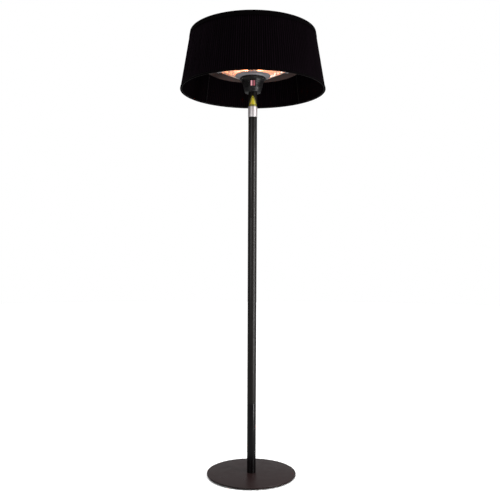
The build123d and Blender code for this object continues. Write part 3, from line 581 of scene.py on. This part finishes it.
def make_guard_wires():
    """A rim wire, straight ribs from the dish to it, and rings welded under the ribs."""
    wire = 1.2 * MM
    weld_gap = 0.1 * MM
    ribs = 60
    first_rib = 180 / ribs
    first_ring = 93 * MM
    rings = 5
    add_piece("guard_rim_wire", ring_wire(rim_radius, rim_wire, rim_level, 16, 240),
              guard_metal, ["guard_rim"])
    foot = Vector((72 * MM, 0, low("guard_ribs").z + 1.1 * MM))
    head = Vector((rim_radius, 0, rim_level))
    along = (head - foot).normalized()
    rib = rod(foot, head - along * (rim_wire + weld_gap), wire)
    add_piece("guard_rib_wires", repeated(rib, ribs, first_rib), guard_metal,
              ["guard_ribs"])
    drop = (2 * wire + weld_gap) / along.x
    shapes = []
    for i in range(rings):
        radius = first_ring + i * (rim_radius - first_ring) / rings
        level = foot.z + (radius - foot.x) * along.z / along.x - drop
        shapes.append(ring_wire(radius, wire, level, 8, 192))
    add_piece("guard_ring_wires", joined(shapes), guard_metal, ["guard_rings"])


# ---------------------------------------------------------------- hood and reflector
def make_hood():
    """A spun hood: flat roof, rounded crown, and a brim that slopes down to a rolled bead."""
    top = high("hood").z
    thick = 1.2 * MM
    tilt = math.radians(22)
    root = rim_radius
    root_level = rim_level + (rim_wire + 0.1 * MM) / math.cos(tilt)
    edge = root_level - (hood_radius - root) * math.tan(tilt)
    wall = root - 8 * MM
    shoulder = root - 36 * MM
    shoulder_drop = 6 * MM
    bend = 20 * MM
    bend_centre = (wall - bend + 0.5 * MM, top - 27 * MM)
    fillet_centre = (root + 3.0 * MM, root_level + 2.6 * MM)
    under = [(stud_hole, top - thick), (roof_flat, top - thick)]
    under += [(shoulder, top - shoulder_drop - thick)]
    under += arc(bend_centre, bend - thick, 72, 10, 7)
    under += arc(fillet_centre, 3.4 * MM, 190, 250, 4)
    bead = arc((hood_radius - 1.9 * MM, edge - 1.2 * MM), 1.8 * MM, 200, 430, 14)
    over = arc(fillet_centre, 2.2 * MM, 250, 190, 4)
    over += arc(bend_centre, bend, 10, 72, 7)
    over += [(shoulder, top - shoulder_drop), (roof_flat, top), (stud_hole, top)]
    add_piece("hood_spun", turned(under + bead + over, 224), hood_paint, ["hood"])


def make_reflector():
    """Spun sheet with a stepped roof, a rounded shoulder and a straight wall."""
    thick = 0.8 * MM
    base = low("reflector").z
    roof = high("reflector").z - thick
    rim = high("reflector").x
    wall = rim - 6 * MM
    shoulder = rim - 14 * MM
    slope_start = 61 * MM
    roof_fall = 10 * MM
    under = [(stud_hole, roof), (58 * MM, roof), (slope_start, roof - 0.4 * MM)]
    for share in (0.35, 0.7):
        radius = slope_start + (shoulder - slope_start) * share
        level = roof - roof_fall * share
        under += [(radius, level), (radius + 1.5 * MM, level - 0.6 * MM)]
    under += arc((shoulder, roof - 17 * MM), 7.5 * MM, 80, 15, 6)
    under += [(wall + 1.0 * MM, roof - 22 * MM), (rim - thick, base)]
    over = [(r + (0.6 * MM if r > shoulder else 0), z + thick) for r, z in under[:-1]]
    over += [(rim, base)]
    add_piece("reflector_dish", turned(under + over[::-1], 192), reflector_painted_glow_metal,
              ["reflector"])


# ---------------------------------------------------------------- quartz elements
def quartz_tube(radius, half):
    """An open tube on the Z axis."""
    wall = 0.9 * MM
    return turned([(radius, -half), (radius, half), (radius - wall, half),
                   (radius - wall, -half)], 32)


def wound_filament(half):
    """A wire wound on the Z axis: a small circle spun round it while it climbs."""
    wire = 0.45 * MM
    coil_radius = 2.0 * MM
    turns = 64
    steps_a_turn = 12
    steps = turns * steps_a_turn
    coil = bmesh.new()
    bmesh.ops.create_circle(coil, radius=wire, segments=6,
                            matrix=Matrix.Translation((coil_radius, 0, -half))
                            @ Matrix.Rotation(math.pi / 2, 4, "X"))
    bmesh.ops.spin(coil, geom=coil.verts[:] + coil.edges[:], cent=(0, 0, 0), axis=(0, 0, 1),
                   dvec=(0, 0, 2 * half / steps), angle=FULL * turns, steps=steps)
    bmesh.ops.holes_fill(coil, edges=coil.edges, sides=6)
    bmesh.ops.recalc_face_normals(coil, faces=coil.faces)
    return coil


def make_elements():
    """Each element: an amber quartz tube and the wound filament in it."""
    radius = (high("element_tube_3").z - low("element_tube_3").z) / 2
    half = (high("element_tube_3").x - low("element_tube_3").x) / 2
    bare_end = 8 * MM
    for number in (1, 2, 3):
        node = f"element_tube_{number}"
        middle = (low(node) + high(node)) / 2
        place = (Matrix.Rotation(math.atan2(middle.y, middle.x), 4, "Z")
                 @ Matrix.Translation((math.hypot(middle.x, middle.y), 0, middle.z))
                 @ Matrix.Rotation(math.pi / 2, 4, "X"))
        tube = quartz_tube(radius, half)
        coil = wound_filament(half - bare_end)
        for shape in (tube, coil):
            bmesh.ops.transform(shape, matrix=place, verts=shape.verts)
        add_piece(f"quartz_tube_{number}", tube, quartz_amber, [node])
        add_piece(f"filament_{number}", coil, filament_glow,
                  ["element_filaments"] if number == 1 else [])


# ---------------------------------------------------------------- shade
def shade_radius(level):
    share = (level - shade_bottom) / (shade_top - shade_bottom)
    return shade_bottom_radius + (shade_top_radius - shade_bottom_radius) * share


def lay_cloth(bm):
    """A UV map in metres: along the cloth, and up from the shade's foot."""
    uv = bm.loops.layers.uv.new("UVMap")
    for face in bm.faces:
        middle = face.calc_center_median()
        face_turn = math.atan2(middle.y, middle.x)
        for loop in face.loops:
            x, y, z = loop.vert.co
            turn = face_turn + (math.atan2(y, x) - face_turn + math.pi) % FULL - math.pi
            loop[uv].uv = (turn * cloth_scale, z - shade_bottom)


def thicken(piece, thickness):
    """Gives a cloth piece its thickness, inwards."""
    thick = piece.modifiers.new("cloth thickness", "SOLIDIFY")
    thick.thickness = thickness
    thick.offset = -1


def raised_ring(columns, rows):
    """A ring of radius 1 raised in rows to height 1."""
    bm = bmesh.new()
    bmesh.ops.create_circle(bm, radius=1.0, segments=columns)
    edges = list(bm.edges)
    for _ in range(rows):
        grown = bmesh.ops.extrude_edge_only(bm, edges=edges)["geom"]
        corners = [g for g in grown if isinstance(g, bmesh.types.BMVert)]
        bmesh.ops.translate(bm, verts=corners, vec=(0, 0, 1 / rows))
        edges = [g for g in grown if isinstance(g, bmesh.types.BMEdge)
                 and all(abs(v.co.z - corners[0].co.z) < 1e-6 for v in g.verts)]
    return bm


def fold_pleats(bm, bottom, top):
    """Moves a raised ring onto the shade's cone and folds it into knife pleats."""
    held_band = 0.12           # share of the height over which the tapes flatten the pleats
    least_depth, more_depth = 1.0 * MM, 1.5 * MM
    rising = 0.84              # share of a pleat that rises before it folds back
    lean = [random.uniform(-0.12, 0.12) for _ in range(pleats)]
    fullness = [random.uniform(0.8, 1.0) for _ in range(pleats)]
    drift = [random.uniform(0, FULL) for _ in range(pleats)]
    for vert in bm.verts:
        share = vert.co.z
        turn = math.atan2(vert.co.y, vert.co.x) / FULL % 1.0 * pleats
        index = int(turn + 1e-4) % pleats
        across = max(0.0, turn - int(turn + 1e-4))
        free = min(1.0, min(share, 1 - share) / held_band)
        depth = (least_depth + more_depth * free) * fullness[index]
        fold = across ** 0.8 if across < rising else (1 - across) / (1 - rising)
        sway = math.sin(share * 5 + drift[index]) * 0.05 * free + lean[index] * free * 0.4
        level = bottom + share * (top - bottom)
        radius = shade_radius(level) - 0.4 * MM - depth * (1 - fold)
        angle = (index + across + sway) / pleats * FULL
        vert.co = (radius * math.cos(angle), radius * math.sin(angle), level)


def make_shade():
    """The pleated cloth, stretched between two wires, with a tape over each edge."""
    turned_in = 0.6 * MM
    bm = raised_ring(pleats * 6, 22)
    fold_pleats(bm, shade_bottom + turned_in, shade_top - turned_in)
    bmesh.ops.recalc_face_normals(bm, faces=bm.faces)
    lay_cloth(bm)
    cloth = add_piece("pleated_shade", bm, shade_cloth, ["shade_fabric"], sharp=60)
    thicken(cloth, 0.5 * MM)
    bands = [make_top_tape(), make_bottom_tape()]


def tape_middle(level):
    return shade_radius(level) - (tape_back - tape_proud) / 2


def make_top_tape():
    """Tape over the pleats' upper edge, down both sides."""
    steps = 8
    bottom, top = shade_top - 23 * MM, shade_top
    foot, head = Vector((shade_radius(bottom), bottom)), Vector((shade_radius(top), top))
    out, back = Vector((tape_proud, 0)), Vector((-tape_back, 0))
    run = [tuple(foot.lerp(head, i / steps) + out) for i in range(steps)]
    run += arc((tape_middle(top), top - 1.6 * MM), tape_fold, 10, 170, 8)
    run += [tuple(head.lerp(foot, i / steps) + back) for i in range(1, steps)]
    return add_tape("shade_top_tape", "shade_top_band", run)


def make_bottom_tape():
    """A narrow hem tape under the pleats' lower edge, up both sides."""
    bottom, top = shade_bottom, shade_bottom + 8 * MM
    turn = bottom + 2 * MM
    run = [(shade_radius(top) + tape_proud, top), (shade_radius(bottom) + tape_proud, turn)]
    run += arc((tape_middle(bottom), bottom + tape_fold), tape_fold, -10, -170, 8)
    run += [(shade_radius(bottom) - tape_back, turn), (shade_radius(top) - tape_back, top)]
    return add_tape("shade_bottom_tape", "shade_bottom_band", run)


def add_tape(name, node, run):
    bm = turned(run, 2 * pleats, closed=False)
    lay_cloth(bm)
    tape = add_piece(name, bm, shade_tape, [node], sharp=50)
    thicken(tape, 0.45 * MM)
    return tape


def make_shade_wires():
    for name, node in (("shade_top_wire", "shade_top_ring"),
                       ("shade_bottom_wire", "shade_bottom_ring")):
        box_low, box_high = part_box(node)
        wire = (box_high.z - box_low.z) / 2
        level = (box_low.z + box_high.z) / 2
        ring = ring_wire(box_high.x - wire, wire, level, 12, 256)
        add_piece(name, ring, frame_paint, [node])


# ---------------------------------------------------------------- finishes of the CAD nodes that show
def dress_nodes():
    for node in ("base_bolts", "pole_foot_plug", "pole_coupler_lower", "pole_coupler_upper",
                 "collar_grub_screw", "neck_locknut", "housing_cover", "rocker_pin",
                 "tilt_switch_pin", "guard_clips", "guard_screws", "reflector_spacers",
                 "element_brackets", "central_stud", "stud_nuts"):
        dress(node, zinc_steel)
    for node in ("cable_gland", "internal_flex"):
        dress(node, black_rubber)
    for node in ("switch_body", "tilt_switch_case"):
        dress(node, bezel_black)
    for node in ("switch_terminals", "terminal_screws", "tilt_switch_pendulum"):
        dress(node, brass_metal)
    for node in ("terminal_block", "thermal_cutout", "element_end_caps"):
        dress(node, ceramic)
    for node in ("spider_hub", "spider_arms", "shade_struts", "finial"):
        dress(node, frame_paint)
    dress("central_column", dish_metal)
    dress("element_leads", lead_sleeve)


# ---------------------------------------------------------------- floor, light and camera
def split_by_ray(tree, bounced, seen, output):
    """Gives the camera one shader and bounced light another."""
    ray = tree.nodes.new("ShaderNodeLightPath")
    choice = tree.nodes.new("ShaderNodeMixShader")
    tree.links.new(ray.outputs["Is Camera Ray"], choice.inputs[0])
    tree.links.new(bounced.outputs[0], choice.inputs[1])
    tree.links.new(seen.outputs[0], choice.inputs[2])
    tree.links.new(choice.outputs[0], output.inputs["Surface"])


def make_floor():
    """A pale floor that lights the object's underside less than it looks."""
    bm = bmesh.new()
    bmesh.ops.create_circle(bm, cap_ends=True, radius=12, segments=96)
    mesh = bpy.data.meshes.new("floor")
    bm.to_mesh(mesh)
    bm.free()
    floor = bpy.data.objects.new("floor", mesh)
    floor.location.z = -0.2 * MM
    bpy.context.scene.collection.objects.link(floor)
    paper = Finish("floor_paper", (0.88, 0.88, 0.88), 0.9)
    paper.blend(paper.noise(0.6), (0.87, 0.87, 0.87), (0.9, 0.9, 0.9))
    dull = paper.add("ShaderNodeBsdfDiffuse", Color=(0.26, 0.26, 0.26, 1))
    split_by_ray(paper.tree, dull, paper.shader, paper.tree.nodes["Material Output"])
    mesh.materials.append(paper.material)


def make_backdrop():
    """White to look at, and a soft grey to light with."""
    white = (1, 1, 1, 1)
    world = bpy.data.worlds.new("studio")
    bpy.context.scene.world = world
    world.use_nodes = True
    tree = world.node_tree
    seen = tree.nodes["Background"]
    seen.inputs["Color"].default_value = white
    lighting = tree.nodes.new("ShaderNodeBackground")
    lighting.inputs["Color"].default_value = white
    lighting.inputs["Strength"].default_value = 0.32
    split_by_ray(tree, lighting, seen, tree.nodes["World Output"])


def add_light(name, place, target, size, power):
    lamp = bpy.data.lights.new(name, "AREA")
    lamp.shape = "RECTANGLE"
    lamp.size, lamp.size_y = size
    lamp.energy = power
    holder = bpy.data.objects.new(name, lamp)
    holder.location = place
    aim = Vector(target) - Vector(place)
    holder.rotation_euler = aim.to_track_quat("-Z", "Y").to_euler()
    bpy.context.scene.collection.objects.link(holder)


def make_lights():
    """A wide soft light from above, and a tall strip to each side for the highlights."""
    sky = bpy.data.lights.new("over", "SUN")
    sky.energy = 3.6
    sky.angle = math.radians(80)
    bpy.context.scene.collection.objects.link(bpy.data.objects.new("over", sky))
    add_light("left strip", (-1.9, -2.9, 1.9), (0, 0, 1.6), (0.7, 1.8), 40)
    add_light("right strip", (1.15, -0.75, 1.0), (0, 0, 1.0), (0.28, 1.95), 38)


def make_camera():
    """In front of the pole about a metre up, tipped up a little and leaning slightly."""
    tip = math.radians(0.966)
    lean = math.radians(0.23)
    lens = bpy.data.cameras.new("camera")
    lens.lens = 45.76
    lens.sensor_width = 36
    camera = bpy.data.objects.new("camera", lens)
    camera.location = (-0.0098, -2.885, 0.9662)
    camera.rotation_euler = (Matrix.Rotation(math.pi / 2 + tip, 4, "X")
                             @ Matrix.Rotation(lean, 4, "Z")).to_euler()
    bpy.context.scene.collection.objects.link(camera)
    bpy.context.scene.camera = camera


make_base_plate()
make_feet()
make_pole("pole_tube_lower", "pole_lower", pole_bottom, lower_joint, pole_gloss)
make_pole("pole_tube_middle", "pole_middle", lower_joint, upper_joint, pole_paint)
make_pole("pole_tube_upper", "pole_upper", upper_joint, pole_top, pole_paint)
make_collar()
make_neck()
make_label()
make_housing()
make_guard_dish()
make_guard_wires()
make_hood()
make_reflector()
make_elements()
make_shade()
make_shade_wires()
dress_nodes()
make_floor()
make_backdrop()
make_lights()
make_camera()
bpy.context.scene.view_settings.view_transform = "Standard"
